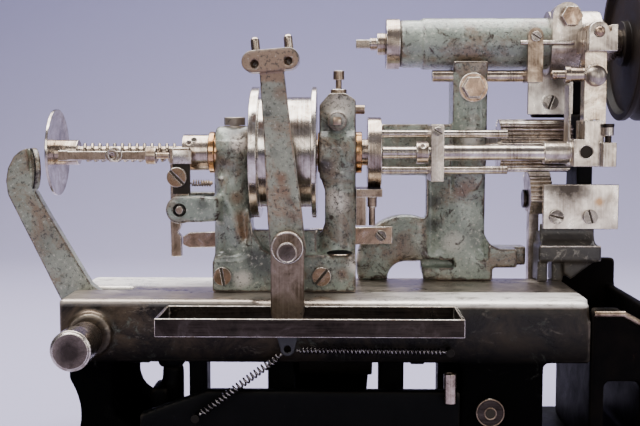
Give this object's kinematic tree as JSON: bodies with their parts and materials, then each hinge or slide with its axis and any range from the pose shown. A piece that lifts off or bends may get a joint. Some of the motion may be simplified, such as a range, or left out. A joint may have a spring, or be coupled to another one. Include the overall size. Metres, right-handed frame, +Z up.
{
  "type": "screw making lathe",
  "caption": "Belt-driven bench lathe for turning small clock screws, with a collet opened by a hook lever, a sliding tool spindle and a second spindle in an overarm.",
  "frame": {"origin": "centre of the four foot bolt holes, at the underside of the sole plate", "axes": "+X along the spindle from the collet opener to the tool side, +Y from the tray to the back, +Z up"},
  "size_m": [0.3926, 0.1826, 0.296],
  "materials": {
    "green_paint": "chipped grey-green enamel over cast iron",
    "black_iron": "oily black casting",
    "bronze": "worn bearing bronze",
    "coppery_steel": "turned steel with a brown patina",
    "brown_steel": "rusty brown steel",
    "dark_steel": "dark oily steel",
    "spring_wire": "drawn spring wire",
    "bright_steel": "polished bright steel",
    "bare_steel": "ground steel with warm patina"
  },
  "bodies": {
    "root": {"base_frame": "black_iron", "bed": "green_paint", "chip_tray": "bare_steel", "chip_chute": "brown_steel", "headstock": "green_paint", "slotted_screws": "coppery_steel", "rear_bush": "bronze", "front_bush": "bronze", "rear_oil_cap": "black_iron", "oil_plugs": "bare_steel", "nose_ring": "bare_steel", "nose_bracket": "bare_steel", "guide_rods": "bare_steel", "rod_carriage": "bare_steel", "rear_column": "green_paint", "hex_bolts": "coppery_steel", "cross_rod": "bright_steel", "link_plate": "brown_steel", "feeler_rod": "bright_steel", "overarm_tube": "green_paint", "overarm_cap": "bare_steel", "overarm_clamp": "bare_steel", "pivot_head": "bare_steel", "upper_plate": "bare_steel", "lower_plate": "bare_steel", "slide_pedestal": "black_iron", "pinion_bracket": "black_iron", "sector_pin": "dark_steel", "cam_posts": "black_iron", "drain_tube": "bright_steel", "spring_pegs": "bare_steel", "lever_pin": "bare_steel", "long_spring": "spring_wire", "short_spring": "spring_wire", "latch_spring": "spring_wire"},
    "spindle": {"spindle": "bare_steel", "fast_pulley": "bare_steel", "rear_collar": "bare_steel"},
    "loose_pulley": {"loose_pulley": "bare_steel"},
    "belt_shifter": {"belt_lever": "green_paint", "belt_pins": "bare_steel", "lever_bar": "bare_steel"},
    "push_rod": {"push_rod": "bare_steel", "push_disc": "dark_steel", "push_spring": "spring_wire", "latch_link": "bare_steel"},
    "hook_lever": {"hook_lever": "green_paint", "rock_shaft": "brown_steel"},
    "latch": {"latch_lever": "dark_steel", "latch_screw": "coppery_steel"},
    "catch_bar": {"catch_bar": "dark_steel"},
    "sector": {"sector_lever": "bare_steel"},
    "pinion": {"long_pinion": "bare_steel"},
    "tool_spindle": {"tool_spindle": "bare_steel", "stop_collar": "bare_steel", "head_block": "bare_steel"},
    "tool_lever": {"tool_lever": "bare_steel"},
    "overarm_spindle": {"overarm_spindle": "bright_steel", "drive_wheel": "brown_steel"},
    "camshaft": {"camshaft": "dark_steel"}
  },
  "joints": [
    {"name": "spindle_turn", "type": "hinge", "parent": "root", "child": "spindle", "pos_m": [0, 0, 0.181], "axis": [1, 0, 0], "continuous": true},
    {"name": "loose_turn", "type": "hinge", "parent": "root", "child": "loose_pulley", "pos_m": [-0.055, 0, 0.181], "axis": [1, 0, 0], "continuous": true},
    {"name": "belt_swing", "type": "hinge", "parent": "root", "child": "belt_shifter", "pos_m": [-0.04, -0.05, 0.128], "axis": [0, 1, 0], "range_deg": [0, 9], "deforming": ["long_spring", "short_spring"]},
    {"name": "hook_swing", "type": "hinge", "parent": "root", "child": "hook_lever", "pos_m": [-0.151, 0, 0.0803], "axis": [0, 1, 0], "range_deg": [0, 2.8]},
    {"name": "push_slide", "type": "slide", "parent": "root", "child": "push_rod", "axis": [1, 0, 0], "range_m": [0, 0.0046], "deforming": ["push_spring"]},
    {"name": "latch_swing", "type": "hinge", "parent": "root", "child": "latch", "pos_m": [-0.1036, 0, 0.1485], "axis": [0, 1, 0], "range_deg": [0, 8.5], "deforming": ["latch_spring"]},
    {"name": "catch_lift", "type": "hinge", "parent": "root", "child": "catch_bar", "pos_m": [0.0143, 0.024, 0.129], "axis": [0, 1, 0], "range_deg": [0, 2.5]},
    {"name": "sector_swing", "type": "hinge", "parent": "root", "child": "sector", "pos_m": [0.115, 0.048, 0.1502], "axis": [1, 0, 0], "range_deg": [0, 25]},
    {"name": "pinion_turn", "type": "hinge", "parent": "root", "child": "pinion", "pos_m": [0.11, 0.048, 0.1842], "axis": [1, 0, 0], "range_deg": [-28.3, 0]},
    {"name": "tool_swing", "type": "hinge", "parent": "root", "child": "tool_lever", "pos_m": [0.1386, 0, 0.2513], "axis": [0, 1, 0], "range_deg": [0, 10]},
    {"name": "tool_slide", "type": "slide", "parent": "root", "child": "tool_spindle", "axis": [1, 0, 0], "range_m": [-0.0098, 0]},
    {"name": "overarm_turn", "type": "hinge", "parent": "root", "child": "overarm_spindle", "pos_m": [0.09, 0.04, 0.248], "axis": [1, 0, 0], "continuous": true},
    {"name": "cam_turn", "type": "hinge", "parent": "root", "child": "camshaft", "pos_m": [-0.04, -0.005, 0.066], "axis": [1, 0, 0], "continuous": true}
  ],
  "couplings": [
    {"joint": "push_slide", "follows": "hook_swing", "m_per_rad": 0.091},
    {"joint": "latch_swing", "follows": "hook_swing", "ratio": 2.95},
    {"joint": "pinion_turn", "follows": "sector_swing", "ratio": -1.125},
    {"joint": "tool_slide", "follows": "tool_swing", "m_per_rad": -0.0557}
  ]
}
